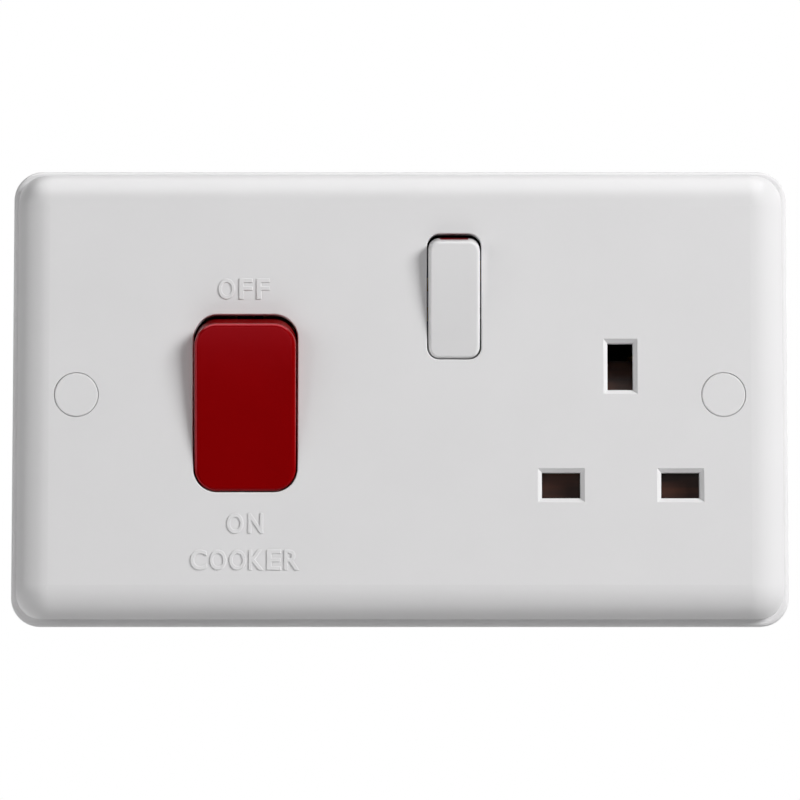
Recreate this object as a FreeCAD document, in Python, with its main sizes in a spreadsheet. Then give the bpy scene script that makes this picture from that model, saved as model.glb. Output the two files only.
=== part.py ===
import FreeCAD, Part
import math
import os
import re
import Sketcher
from FreeCAD import Placement, Rotation, Vector

# Cooker control unit: a wall plate with a double-pole rocker switch and a switched three-pin outlet.
# Millimetres. The front faces -Y, +Z is up, and the origin is the plate's centre on the wall.

SIZES = {
    # faceplate
    "plate_width": 146.0,
    "plate_height": 86.0,
    "plate_depth": 10.0,
    "face_wall": 3.0,
    "side_wall": 2.5,
    "flange_lip": 1.4,
    "flange_thickness": 2.2,
    "flange_corner": 5.4,
    "flange_round": 0.8,
    "shell_corner": 4.4,
    "edge_radius": 7.2,
    "edge_trim": 1.0,
    "edge_corner_margin": 0.15,
    # fixing screws and their covers
    "fixing_spacing": 120.6,
    "cap_radius": 4.1,
    "cap_thickness": 1.2,
    "cap_round": 0.3,
    "cap_plug_length": 1.5,
    "cap_plug_wall": 0.9,
    "cap_clearance": 0.08,
    "fixing_head_radius": 3.4,
    "fixing_head_height": 2.2,
    "fixing_head_gap": 0.2,
    "fixing_head_depth": 5.5,
    "fixing_neck_radius": 1.55,
    "fixing_hole_clearance": 0.45,
    "fixing_thread_radius": 1.75,
    "fixing_thread_lead": 1.0,
    "fixing_reach": 25.0,
    "fixing_boss_wall": 1.8,
    "fixing_boss_setback": 1.3,
    "driver_slot_width": 1.0,
    "driver_slot_depth": 0.9,
    # pin slots
    "outlet_x": 41.1,
    "earth_slot_z": 5.3,
    "pin_slot_z": -16.9,
    "pin_half_spacing": 11.1,
    "pin_slot_width": 7.2,
    "pin_slot_height": 4.8,
    "earth_slot_width": 4.8,
    "earth_slot_height": 8.8,
    "slot_bevel": 0.78,
    "opening_round": 0.25,
    # ribs between the pillars and the skirt
    "rib_thickness": 1.4,
    "rib_height": 3.5,
    # rockers
    "cooker_x": -28.8,
    "cooker_z": -1.6,
    "cooker_open_width": 19.4,
    "cooker_open_height": 33.2,
    "cooker_open_corner": 4.4,
    "cooker_pivot_depth": 6.0,
    "cooker_rise": 1.5,
    "cooker_crown": 0.5,
    "cooker_edge_round": 0.8,
    "socket_x": 10.1,
    "socket_z": 18.4,
    "socket_open_width": 10.1,
    "socket_open_height": 23.6,
    "socket_open_corner": 2.3,
    "socket_pivot_depth": 5.0,
    "socket_rise": 1.1,
    "socket_crown": 0.35,
    "socket_edge_round": 0.7,
    "rocker_throw": 7.0,
    "rocker_side_gap": 0.25,
    "rocker_end_gap": 0.3,
    "rocker_front_gap": 0.3,
    "rocker_wall": 1.9,
    "rocker_end_wall": 2.5,
    "rocker_skirt": 1.5,
    "rocker_lug_depth": 2.1,
    "rocker_lug_half": 3.6,
    "trunnion_radius": 1.5,
    "trunnion_length": 2.0,
    "trunnion_clearance": 0.05,
    "ear_thickness": 2.4,
    "ear_half_height": 3.4,
    # plungers and their springs
    "plunger_radius": 1.9,
    "plunger_clearance": 0.08,
    "plunger_length": 8.9,
    "plunger_reach": 11.4,
    "plunger_show": 4.4,
    "plunger_gap": 0.2,
    "stem_wall": 0.8,
    "spring_seat": 3.0,
    "spring_wire": 0.45,
    "spring_clearance": 0.2,
    "spring_turns": 5.0,
    # contact arms and contacts
    "arm_thickness": 1.2,
    "arm_width": 6.0,
    "arm_set": 0.2,
    "cooker_arm_half": 13.0,
    "socket_arm_half": 9.3,
    "knuckle_radius": 1.2,
    "knuckle_clearance": 0.05,
    "cradle_half": 2.2,
    "cradle_front_set": 0.4,
    "cradle_depth": 3.5,
    "contact_radius": 1.6,
    "contact_height": 0.6,
    "contact_gap": 0.25,
    "contact_inset": 2.0,
    "rivet_radius": 0.8,
    "rivet_clearance": 0.03,
    "rivet_head_radius": 1.2,
    "rivet_head_height": 0.4,
    # terminals
    "block_height": 12.0,
    "block_width": 9.0,
    "block_depth": 11.0,
    "block_offset": 20.0,
    "block_setback": 1.0,
    "block_chamfer": 0.5,
    "pole_gap": 2.0,
    "wire_bore_radius": 3.0,
    "wire_bore_depth": 10.0,
    "wire_bore_lead_in": 0.4,
    "earth_x": 2.0,
    "earth_bore_spacing": 10.0,
    "terminal_screw_radius": 1.9,
    "terminal_screw_clearance": 0.08,
    "terminal_head_radius": 2.35,
    "terminal_head_height": 2.0,
    "terminal_screw_spacing": 5.2,
    # strips and pin contacts
    "strip_thickness": 1.2,
    "strip_width": 4.0,
    "strip_bend": 1.0,
    "live_link_lead": 3.5,
    "neutral_link_setback": 2.65,
    "tongue_width": 6.0,
    "leaf_thickness": 0.8,
    "leaf_pinch": 1.9,
    "leaf_flare": 0.9,
    "leaf_width": 6.0,
    "leaf_mouth": 1.8,
    "leaf_lead": 1.8,
    "earth_contact_depth": 14.0,
    # shutter
    "shutter_gap": 0.3,
    "shutter_thickness": 3.3,
    "shutter_stem_half": 6.0,
    "shutter_overlap": 0.6,
    "shutter_lip": 0.6,
    "shutter_stop_gap": 0.3,
    "ramp_toe": 0.1,
    "rail_thickness": 1.6,
    "rail_clearance": 0.2,
    "retainer_thickness": 2.0,
    "retainer_window_gap": 0.5,
    "peg_radius": 0.6,
    "peg_clearance": 0.05,
    "peg_head_radius": 1.0,
    "peg_head_height": 0.5,
    "peg_dome": 0.4,
    "shutter_spring_length": 9.3,
    "shutter_spring_radius": 1.9,
    "spring_ledge": 1.6,
    # rear housing and its screws
    "housing_wall": 1.8,
    "housing_floor": 2.0,
    "housing_left": 48.0,
    "housing_right": 59.0,
    "housing_corner": 2.5,
    "housing_edge": 1.0,
    "notch_depth": 6.0,
    "notch_half": 9.0,
    "notch_corner": 1.2,
    "terminal_fit": 0.2,
    "barrier_clearance": 0.4,
    "wire_hole_margin": 0.6,
    "access_margin": 0.2,
    "housing_screw_radius": 1.25,
    "housing_screw_clearance": 0.4,
    "housing_pilot_clearance": 0.05,
    "housing_screw_bite": 5.0,
    "housing_pilot_spare": 0.5,
    "housing_head_radius": 2.7,
    "housing_head_height": 1.8,
    "post_wall": 1.5,
    "post_inset": 5.0,
    "boss_height": 4.0,
}

doc = FreeCAD.newDocument("cooker_control_unit")
sheet = doc.addObject("Spreadsheet::Sheet", "Sizes")
for row, (alias, size) in enumerate(SIZES.items(), start=1):
    sheet.set(f"A{row}", alias)
    sheet.set(f"B{row}", str(size))
    sheet.setAlias(f"B{row}", alias)
doc.recompute()


# Expressions are written with the plain names of the sizes.

def expand(text):
    return re.sub(r"[a-z_]+", lambda word: f"Sizes.{word[0]}" if word[0] in SIZES else word[0], text)


def value(text):
    return float(sheet.evalExpression(expand(text)))


def bind(item, prop, text):
    item.setExpression(prop, expand(text))


def span(centre, half):
    return f"({centre}) - ({half})", f"({centre}) + ({half})"


# Bodies, sketches and features

pieces = []


def new_body(name):
    body = doc.addObject("PartDesign::Body", name)
    body.Label = name
    pieces.append(body)
    return body


def sketch_on(body, name, role, height="0"):
    plane = next(item for item in body.Origin.OriginFeatures if item.Role == role)
    sketch = body.newObject("Sketcher::SketchObject", f"{body.Name}_{name}")
    sketch.AttachmentSupport = (plane, [""])
    sketch.MapMode = "FlatFace"
    bind(sketch, "AttachmentOffset.Base.z", height)
    return sketch


def front_sketch(body, name, depth="0"):
    # seen from the front, on the plane at that depth behind the wall surface
    return sketch_on(body, name, "XZ_Plane", f"-({depth})")


def dimension(sketch, kind, where, text):
    index = sketch.addConstraint(Sketcher.Constraint(kind, *where, value(text)))
    bind(sketch, f"Constraints[{index}]", text)


def place_point(sketch, geometry, end, across, up):
    dimension(sketch, "DistanceX", (-1, 1, geometry, end), across)
    dimension(sketch, "DistanceY", (-1, 1, geometry, end), up)


def outline(sketch, points, arcs=None):
    # straight sides between the points; arcs maps a side's index to (radius, +1 or -1 for its turn)
    arcs = arcs or {}
    corners = [Vector(value(across), value(up), 0) for across, up in points]
    count = len(points)
    ends = []
    for side in range(count):
        start = corners[side]
        stop = corners[(side + 1) % count]
        if side in arcs:
            radius, turn = arcs[side]
            chord = stop - start
            reach = math.sqrt(max(value(radius) ** 2 - chord.Length ** 2 / 4, 0))
            normal = Vector(-chord.y, chord.x, 0).normalize()
            centre = (start + stop) * 0.5 + normal * (reach * turn)
            first, last = (start, stop) if turn > 0 else (stop, start)
            low = math.atan2(first.y - centre.y, first.x - centre.x)
            high = math.atan2(last.y - centre.y, last.x - centre.x)
            circle = Part.Circle(centre, Vector(0, 0, 1), value(radius))
            geometry = sketch.addGeometry(Part.ArcOfCircle(circle, low, high))
            ends.append((geometry, 1, 2) if turn > 0 else (geometry, 2, 1))
        else:
            geometry = sketch.addGeometry(Part.LineSegment(start, stop))
            ends.append((geometry, 1, 2))
    for side in range(count):
        geometry, _, last = ends[side]
        following, first, _ = ends[(side + 1) % count]
        sketch.addConstraint(Sketcher.Constraint("Coincident", geometry, last, following, first))
    for side, (across, up) in enumerate(points):
        place_point(sketch, ends[side][0], ends[side][1], across, up)
    for side, (radius, _) in arcs.items():
        dimension(sketch, "Radius", (ends[side][0],), radius)


def rectangle(sketch, across, up):
    left, right = across
    low, high = up
    outline(sketch, [(left, low), (right, low), (right, high), (left, high)])


def rounded(sketch, across, up, radius):
    left, right = across
    low, high = up
    points = [
        (f"{left} + {radius}", low), (f"{right} - ({radius})", low),
        (right, f"{low} + {radius}"), (right, f"{high} - ({radius})"),
        (f"{right} - ({radius})", high), (f"{left} + {radius}", high),
        (left, f"{high} - ({radius})"), (left, f"{low} + {radius}"),
    ]
    outline(sketch, points, {side: (radius, 1) for side in (1, 3, 5, 7)})


def circle(sketch, across, up, radius):
    centre = Vector(value(across), value(up), 0)
    geometry = sketch.addGeometry(Part.Circle(centre, Vector(0, 0, 1), value(radius)))
    place_point(sketch, geometry, 3, across, up)
    dimension(sketch, "Radius", (geometry,), radius)


def extrude(kind, body, sketch, length, reverse, both):
    feature = body.newObject(f"PartDesign::{kind}", f"{sketch.Name}_{kind.lower()}")
    feature.Profile = sketch
    bind(feature, "Length", length)
    feature.Reversed = reverse
    if both:
        feature.SideType = "Symmetric"
    body.Tip = feature
    return feature


def pad(body, sketch, length, reverse=False, both=False):
    # along the plane's normal: a front sketch grows towards the front, and reversed to the back
    return extrude("Pad", body, sketch, length, reverse, both)


def pocket(body, sketch, length, reverse=False, both=False):
    # against the plane's normal: a front sketch cuts towards the back, and reversed to the front
    return extrude("Pocket", body, sketch, length, reverse, both)


def dress(kind, prop, body, size, wanted, name):
    doc.recompute()
    base = body.Tip
    edges = [f"Edge{n}" for n, edge in enumerate(base.Shape.Edges, start=1) if wanted(edge)]
    feature = body.newObject(f"PartDesign::{kind}", f"{body.Name}_{name}")
    feature.Base = (base, edges)
    bind(feature, prop, size)
    body.Tip = feature
    return feature


def fillet(body, radius, wanted, name):
    return dress("Fillet", "Radius", body, radius, wanted, name)


def chamfer(body, size, wanted, name):
    return dress("Chamfer", "Size", body, size, wanted, name)


def middle(edge):
    return edge.valueAt((edge.FirstParameter + edge.LastParameter) / 2)


SLACK = 1e-4


def near(first, second):
    return abs(first - second) < SLACK


def at_depth(edge, depth):
    ends = [vertex.Point for vertex in edge.Vertexes]
    return all(near(point.y, depth) for point in ends + [middle(edge)])


def hang(body, across, depth, up, turn="0"):
    body.Placement = Placement(Vector(0, 0, 0), Rotation(Vector(1, 0, 0), 1))
    bind(body, "Placement.Base.x", across)
    bind(body, "Placement.Base.y", depth)
    bind(body, "Placement.Base.z", up)
    bind(body, "Placement.Rotation.Angle", turn)


# Levels, as depths behind the wall surface: what is in front of it is negative.

FACE = "(-plate_depth)"
INNER = "(face_wall - plate_depth)"
SHELL_X = "(plate_width / 2 - flange_lip)"
SHELL_Z = "(plate_height / 2 - flange_lip)"
HOLLOW_X = f"({SHELL_X} - side_wall)"
HOLLOW_Z = f"({SHELL_Z} - side_wall)"
COOKER_PIVOT = "(cooker_pivot_depth - plate_depth)"
SOCKET_PIVOT = "(socket_pivot_depth - plate_depth)"
ARM_FRONT = f"({COOKER_PIVOT} + plunger_reach + plunger_gap)"
ARM_PIVOT = f"({ARM_FRONT} + arm_thickness + arm_set)"
CRADLE_BACK = f"({ARM_PIVOT} + cradle_depth)"
BLOCK_FRONT = f"({ARM_PIVOT} + block_setback)"
BLOCK_BACK = f"({BLOCK_FRONT} + block_depth)"
BORE_DEPTH = f"({BLOCK_FRONT} + block_depth / 2)"
REAR = f"({BLOCK_BACK} + housing_floor)"
POLE = "((block_width + pole_gap) / 2)"
LIVE_X = f"(cooker_x - {POLE})"
NEUTRAL_X = f"(cooker_x + {POLE})"
BLOCK_END = "(block_offset + block_height)"
HOUSING_Z = f"({BLOCK_END} + terminal_fit + housing_wall)"
FIXING_X = "(fixing_spacing / 2)"
LIVE_PIN_X = "(outlet_x + pin_half_spacing)"
NEUTRAL_PIN_X = "(outlet_x - pin_half_spacing)"
STEM_RADIUS = "(plunger_radius + plunger_clearance + stem_wall)"
WELL_RADIUS = "(fixing_head_radius + fixing_head_gap)"
BLADE_HALF = "(pin_half_spacing + pin_slot_width / 2 + shutter_overlap)"
BLADE_LOW = "(pin_slot_z - pin_slot_height / 2 - shutter_overlap)"
BLADE_TOP = "(pin_slot_z + pin_slot_height / 2 + shutter_overlap)"
SHUTTER_TRAVEL = "(pin_slot_height + 2 * shutter_overlap)"
SHUTTER_FRONT = f"({INNER} + shutter_gap)"
SHUTTER_BACK = f"({SHUTTER_FRONT} + shutter_thickness)"
RETAINER_FRONT = f"({SHUTTER_BACK} + shutter_gap)"
RETAINER_BACK = f"({RETAINER_FRONT} + retainer_thickness)"
RAIL_LOW = f"({BLADE_TOP} + shutter_stop_gap)"
RAIL_FOOT = f"({RAIL_LOW} + rail_thickness)"
RAIL_TOP = "(earth_slot_z + earth_slot_height / 2 + rail_thickness)"
RAIL_IN = "(shutter_stem_half + rail_clearance)"
RAIL_OUT = f"({RAIL_IN} + rail_thickness)"
LEDGE_TOP = f"({BLADE_LOW} - shutter_spring_length)"
POST_X = ("(post_inset - housing_left)", "(housing_right - post_inset)")
POST_Z = (f"(post_inset - {HOUSING_Z})", f"({HOUSING_Z} - post_inset)")
POSTS = [(across, up) for across in POST_X for up in POST_Z]
BOSS_END = f"({INNER} + boss_height)"


# Faceplate: one white moulding. The edge is a large radius that stops short of the side at a
# small shoulder, and a thin flange runs round the back where it meets the wall.

plate = new_body("faceplate")
block = front_sketch(plate, "block")
rounded(block, span("0", f"{SHELL_X} + edge_trim"), span("0", f"{SHELL_Z} + edge_trim"),
        "edge_radius + edge_corner_margin")
pad(plate, block, "plate_depth")
fillet(plate, "edge_radius", lambda edge: at_depth(edge, value(FACE)), "rounded_edge")

trim = front_sketch(plate, "trim")
rectangle(trim, span("0", "plate_width"), span("0", "plate_height"))
rounded(trim, span("0", SHELL_X), span("0", SHELL_Z), "shell_corner")
pocket(plate, trim, "plate_depth", reverse=True)

flange = front_sketch(plate, "flange")
rounded(flange, span("0", "plate_width / 2"), span("0", "plate_height / 2"), "flange_corner")
pad(plate, flange, "flange_thickness")


def on_flange_outline(edge):
    point = middle(edge)
    beyond = value("flange_lip / 2")
    outside = abs(point.x) > value(SHELL_X) + beyond or abs(point.z) > value(SHELL_Z) + beyond
    corner = hasattr(edge.Curve, "Radius") and near(edge.Curve.Radius, value("flange_corner"))
    return at_depth(edge, -value("flange_thickness")) and (outside or corner)


fillet(plate, "flange_round", on_flange_outline, "flange_edge")

hollow = front_sketch(plate, "hollow")
rounded(hollow, span("0", HOLLOW_X), span("0", HOLLOW_Z), "side_wall")
pocket(plate, hollow, "plate_depth - face_wall", reverse=True)

# hollow pillars for the fixing screws
pillars = front_sketch(plate, "pillars", INNER)
for side in (f"-{FIXING_X}", FIXING_X):
    circle(pillars, side, "0", f"{WELL_RADIUS} + fixing_boss_wall")
pad(plate, pillars, "plate_depth - face_wall - fixing_boss_setback", reverse=True)

# short ribs that tie the pillars to the skirt
ribs = front_sketch(plate, "ribs", INNER)
for across in ((f"-{HOLLOW_X}", f"-{FIXING_X}"), (FIXING_X, HOLLOW_X)):
    rectangle(ribs, across, span("0", "rib_thickness / 2"))
pad(plate, ribs, "rib_height", reverse=True)

# bosses that the housing screws bite into
bosses = front_sketch(plate, "bosses", INNER)
for across, up in POSTS:
    circle(bosses, across, up, "housing_screw_radius + housing_pilot_clearance + post_wall")
pad(plate, bosses, "boss_height", reverse=True)
pilots = front_sketch(plate, "pilots", BOSS_END)
for across, up in POSTS:
    circle(pilots, across, up, "housing_screw_radius + housing_pilot_clearance")
pocket(plate, pilots, "housing_screw_bite + housing_pilot_spare", reverse=True)


def rocker_ears(name, across, up, open_width, widest, pivot_depth):
    # two ears behind the opening, with the holes that the rocker's trunnions snap into
    inside = f"max({open_width} / 2; {widest})"
    ears = front_sketch(plate, f"{name}_ears", INNER)
    for side in (-1, 1):
        first = f"{across} + {side} * {inside}"
        second = f"{across} + {side} * ({inside} + ear_thickness)"
        rectangle(ears, (first, second) if side > 0 else (second, first), span(up, "ear_half_height"))
    pad(plate, ears, f"{pivot_depth} - face_wall + trunnion_radius + rocker_wall / 2", reverse=True)
    holes = sketch_on(plate, f"{name}_holes", "YZ_Plane", across)
    circle(holes, f"{pivot_depth} - plate_depth", up, "trunnion_radius + trunnion_clearance")
    pocket(plate, holes, f"2 * ({inside} + 2 * ear_thickness)", both=True)


rocker_ears("cooker", "cooker_x", "cooker_z", "cooker_open_width", f"{POLE} + {STEM_RADIUS}",
            "cooker_pivot_depth")
rocker_ears("socket", "socket_x", "socket_z", "socket_open_width", STEM_RADIUS, "socket_pivot_depth")

# rails and stops round the shutter, and the ledge under its spring
rails = front_sketch(plate, "rails", INNER)
for side in (-1, 1):
    tip = f"outlet_x + {side} * {BLADE_HALF}"
    outer = f"outlet_x + {side} * {RAIL_OUT}"
    inner = f"outlet_x + {side} * {RAIL_IN}"
    outline(rails, [
        (tip, RAIL_LOW), (inner, RAIL_LOW), (inner, RAIL_TOP),
        (outer, RAIL_TOP), (outer, RAIL_FOOT), (tip, RAIL_FOOT),
    ])
rectangle(rails, span("outlet_x", "shutter_spring_radius + spring_ledge / 2"),
          (f"{LEDGE_TOP} - spring_ledge", LEDGE_TOP))
pad(plate, rails, f"{RETAINER_FRONT} - {INNER}", reverse=True)

# pegs on the rails, melted over into domed heads behind the shutter's retainer
FOOT_PEG = (f"({BLADE_HALF} + {RAIL_OUT}) / 2", f"{RAIL_LOW} + rail_thickness / 2")
TOP_PEG = (f"({RAIL_IN} + {RAIL_OUT}) / 2", f"{RAIL_TOP} - rail_thickness")
PEGS = [(f"outlet_x + {side} * {reach}", up) for side in (-1, 1) for reach, up in (FOOT_PEG, TOP_PEG)]
pegs = front_sketch(plate, "pegs", RETAINER_FRONT)
heads = front_sketch(plate, "peg_heads", RETAINER_BACK)
for across, up in PEGS:
    circle(pegs, across, up, "peg_radius")
    circle(heads, across, up, "peg_head_radius")
pad(plate, pegs, "retainer_thickness", reverse=True)
pad(plate, heads, "peg_head_height", reverse=True)
PEG_END = f"({RETAINER_BACK} + peg_head_height)"
fillet(plate, "peg_dome", lambda edge: at_depth(edge, value(PEG_END)), "peg_domes")

# openings for the rockers, with a soft edge
OPENINGS = [(f"{name}_x", f"{name}_z", f"{name}_open_width", f"{name}_open_height")
            for name in ("cooker", "socket")]


def mouth_of(places):
    # the edges on the front face round these openings
    def wanted(edge):
        point = middle(edge)
        return at_depth(edge, value(FACE)) and any(
            abs(point.x - value(across)) <= value(width) / 2 + SLACK
            and abs(point.z - value(up)) <= value(height) / 2 + SLACK
            for across, up, width, height in places)
    return wanted


openings = front_sketch(plate, "rocker_openings", FACE)
for name, (across, up, width, height) in zip(("cooker", "socket"), OPENINGS):
    rounded(openings, span(across, f"{width} / 2"), span(up, f"{height} / 2"), f"{name}_open_corner")
pocket(plate, openings, "face_wall")
fillet(plate, "opening_round", mouth_of(OPENINGS), "opening_edge")

# pin slots with a bevelled lead-in
SLOTS = [
    (LIVE_PIN_X, "pin_slot_z", "pin_slot_width", "pin_slot_height"),
    (NEUTRAL_PIN_X, "pin_slot_z", "pin_slot_width", "pin_slot_height"),
    ("outlet_x", "earth_slot_z", "earth_slot_width", "earth_slot_height"),
]
slots = front_sketch(plate, "pin_slots", FACE)
for across, up, width, height in SLOTS:
    rectangle(slots, span(across, f"{width} / 2"), span(up, f"{height} / 2"))
pocket(plate, slots, "face_wall")
chamfer(plate, "slot_bevel", mouth_of(SLOTS), "slot_lead_in")

# stepped wells under the screw covers
for name, radius, depth in (
    ("cap_seats", "cap_radius + cap_clearance", "cap_thickness"),
    ("head_wells", WELL_RADIUS, "fixing_head_depth"),
    ("screw_holes", "fixing_neck_radius + fixing_hole_clearance", "plate_depth"),
):
    wells = front_sketch(plate, name, FACE)
    for side in (f"-{FIXING_X}", FIXING_X):
        circle(wells, side, "0", radius)
    pocket(plate, wells, depth)


# Rockers: hollow moulded keys that turn on two trunnions. The face is a shallow arch, the ends
# lean in so that they clear the opening, and hollow stems behind carry springs and plungers.

def make_rocker(kind, reach, stems):
    body = new_body(f"{kind}_rocker")
    open_width = f"{kind}_open_width"
    open_height = f"{kind}_open_height"
    pivot_depth = f"{kind}_pivot_depth"
    crown = f"{kind}_crown"
    front = f"({pivot_depth} + {kind}_rise)"
    half_width = f"({open_width} / 2 - rocker_side_gap)"
    dip = f"{front} * sin(rocker_throw)"
    front_half = f"(({open_height} / 2 - rocker_front_gap - {dip}) / cos(rocker_throw))"
    skirt_half = f"({open_height} / 2 - rocker_end_gap)"
    shoulder = f"({pivot_depth} - face_wall)"
    arch = f"({front_half} ^ 2 + {crown} ^ 2) / (2 * {crown})"
    profile = sketch_on(body, "profile", "YZ_Plane")
    points = [
        (f"-{front}", f"-{front_half}"), (f"-{front}", front_half),
        (f"-{shoulder}", skirt_half), ("-rocker_skirt", skirt_half),
        ("rocker_lug_depth", "rocker_lug_half"), ("rocker_lug_depth", "-rocker_lug_half"),
        ("-rocker_skirt", f"-{skirt_half}"), (f"-{shoulder}", f"-{skirt_half}"),
    ]
    outline(profile, points, {0: (arch, -1)})
    pad(body, profile, f"2 * {half_width}", both=True)

    def on_corner(edge):
        point = middle(edge)
        on_end = abs(point.z) > value(front_half) and point.y < -value("rocker_skirt") + SLACK
        return near(abs(point.x), value(half_width)) and on_end

    fillet(body, f"{kind}_open_corner - rocker_side_gap", on_corner, "corners")

    def on_face(edge):
        return any(isinstance(face.Surface, Part.Cylinder) and near(face.Surface.Radius, value(arch))
                   for face in body.Tip.Shape.ancestorsOfType(edge, Part.Face))

    fillet(body, f"{kind}_edge_round", on_face, "face_edge")

    cavity = front_sketch(body, "cavity", "rocker_lug_depth")
    rectangle(cavity, span("0", f"{half_width} - rocker_wall"),
              span("0", f"{skirt_half} - rocker_end_wall"))
    pocket(body, cavity, f"rocker_lug_depth + {front} - rocker_wall", reverse=True)

    tubes = front_sketch(body, "stems", f"{reach} - plunger_show")
    for offset in stems:
        circle(tubes, offset, "0", STEM_RADIUS)
    pad(body, tubes, f"{reach} - plunger_show + {front} - rocker_wall / 2")

    for side in (-1, 1):
        pin = sketch_on(body, "trunnion_right" if side > 0 else "trunnion_left", "YZ_Plane",
                        f"{side} * ({half_width} - rocker_wall / 2)")
        circle(pin, "0", "0", "trunnion_radius")
        pad(body, pin, "rocker_wall / 2 + rocker_side_gap + trunnion_length", reverse=side < 0)

    bores = front_sketch(body, "bores", f"{reach} - plunger_show")
    for offset in stems:
        circle(bores, offset, "0", "plunger_radius + plunger_clearance")
    pocket(body, bores, f"{reach} - plunger_show + spring_seat", reverse=True)
    hang(body, f"{kind}_x", f"{pivot_depth} - plate_depth", f"{kind}_z", "rocker_throw")


SOCKET_REACH = f"({ARM_FRONT} - plunger_gap - {SOCKET_PIVOT})"
make_rocker("cooker", "plunger_reach", (f"-{POLE}", POLE))
make_rocker("socket", SOCKET_REACH, ("0",))


# Plungers: turned nylon pins with a round nose, sliding in the rockers' stems.

def revolve(body, sketch):
    feature = body.newObject("PartDesign::Revolution", f"{sketch.Name}_turned")
    feature.Profile = sketch
    feature.ReferenceAxis = (sketch, ["V_Axis"])
    feature.Angle = 360
    body.Tip = feature


def make_plunger(name, across, depth, up, offset, reach):
    body = new_body(name)
    profile = sketch_on(body, "profile", "XY_Plane")
    outline(profile, [
        ("0", f"{reach} - plunger_length"), ("plunger_radius", f"{reach} - plunger_length"),
        ("plunger_radius", f"{reach} - plunger_radius"), ("0", reach),
    ], {2: ("plunger_radius", 1)})
    revolve(body, profile)
    hang(body, f"{across} + {offset}", depth, up, "rocker_throw")


# Springs: a coil of wire drawn as straight chords round the helix, which the wire's section follows.

CHORDS = 12


def make_coil(name, radius, low, high, place):
    wire = value("spring_wire")
    turns = value("spring_turns")
    rise = value(high) - value(low) - wire
    steps = int(CHORDS * turns)
    mean = value(radius) - wire / 2
    points = []
    for step in range(steps + 1):
        angle = 2 * math.pi * step / CHORDS
        along = value(low) + wire / 2 + rise * step / steps
        points.append(Vector(mean * math.cos(angle), along, mean * math.sin(angle)))
    path = Part.makePolygon(points)
    half = wire / 2
    start = points[0]
    steps_round = ((-half, 0), (0, -half), (half, 0), (0, half))
    corners = [start + Vector(out, along, 0) for out, along in steps_round]
    shell = Part.BRepOffsetAPI.MakePipeShell(path)
    shell.add(Part.makePolygon(corners + corners[:1]), False, False)
    shell.setTransitionMode(1)
    shell.build()
    shell.makeSolid()
    coil = doc.addObject("Part::Feature", name)
    coil.Label = name
    coil.Shape = shell.shape()
    coil.Placement = place
    pieces.append(coil)


def switch_spring(name, across, depth, up, reach):
    seat = Vector(value(across), value(depth), value(up))
    place = Placement(seat, Rotation(Vector(1, 0, 0), value("rocker_throw")))
    make_coil(name, "plunger_radius + plunger_clearance - spring_clearance",
              "-spring_seat", f"{reach} - plunger_length", place)


SWITCHES = [
    ("cooker_live", "cooker_x", "cooker_z", COOKER_PIVOT, f"-{POLE}", "plunger_reach"),
    ("cooker_neutral", "cooker_x", "cooker_z", COOKER_PIVOT, POLE, "plunger_reach"),
    ("socket", "socket_x", "socket_z", SOCKET_PIVOT, "0", SOCKET_REACH),
]
for name, across, up, depth, offset, reach in SWITCHES:
    make_plunger(f"{name}_plunger", across, depth, up, offset, reach)
    switch_spring(f"{name}_spring", f"{across} + {offset}", depth, up, reach)


# Contact arms: copper see-saws that rock in a cradle as the plunger's nose crosses their middle,
# with a silver contact riveted through the upper end.

def rivet_hole(body, depth, across, up, thickness):
    hole = front_sketch(body, "rivet_hole", depth)
    circle(hole, across, up, "rivet_radius + rivet_clearance")
    pocket(body, hole, thickness)


def make_arm(name, across, up, half):
    body = new_body(f"{name}_arm")
    strip = front_sketch(body, "strip", "-arm_set")
    rounded(strip, span("0", "arm_width / 2"), span("0", half), "arm_width / 4")
    pad(body, strip, "arm_thickness")
    knuckle = sketch_on(body, "knuckle", "YZ_Plane")
    circle(knuckle, "0", "0", "knuckle_radius")
    pad(body, knuckle, "arm_width", both=True)
    rivet_up = f"{half} - contact_inset"
    rivet_hole(body, "-arm_set - arm_thickness", "0", rivet_up, "arm_thickness")
    hang(body, across, ARM_PIVOT, up, "-rocker_throw")
    contact = new_body(f"{name}_contact")
    button = front_sketch(contact, "button", "-arm_set")
    circle(button, "0", rivet_up, "contact_radius")
    pad(contact, button, "contact_height", reverse=True)
    stem = front_sketch(contact, "stem", "-arm_set")
    circle(stem, "0", rivet_up, "rivet_radius")
    pad(contact, stem, "arm_thickness")
    head = front_sketch(contact, "head", "-arm_set - arm_thickness")
    circle(head, "0", rivet_up, "rivet_head_radius")
    pad(contact, head, "rivet_head_height")
    hang(contact, across, ARM_PIVOT, up, "-rocker_throw")


make_arm("cooker_live", LIVE_X, "cooker_z", "cooker_arm_half")
make_arm("cooker_neutral", NEUTRAL_X, "cooker_z", "cooker_arm_half")
make_arm("socket", "socket_x", "socket_z", "socket_arm_half")


# Fixed contacts: silver rivets that the arms' contacts close on, clenched behind their strips.

def fixed_front(half):
    swing = f"({half} - contact_inset + contact_radius) * sin(rocker_throw)"
    return f"({ARM_PIVOT} + (contact_height - arm_set) * cos(rocker_throw) + {swing} + contact_gap)"


def rod(name, radius, across, depths, up):
    first, last = depths
    solid = doc.addObject("Part::Cylinder", name)
    bind(solid, "Radius", radius)
    bind(solid, "Height", f"({last}) - ({first})")
    solid.Placement = Placement(Vector(0, 0, 0), Rotation(Vector(1, 0, 0), -90))
    bind(solid, "Placement.Base.x", across)
    bind(solid, "Placement.Base.y", first)
    bind(solid, "Placement.Base.z", up)
    return solid


def fuse(name, solids):
    item = doc.addObject("Part::MultiFuse", name)
    item.Shapes = solids
    item.Refine = True
    return item


def group(name, solids):
    item = doc.addObject("Part::Compound", name)
    item.Label = name
    item.Links = solids
    pieces.append(item)


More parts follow.
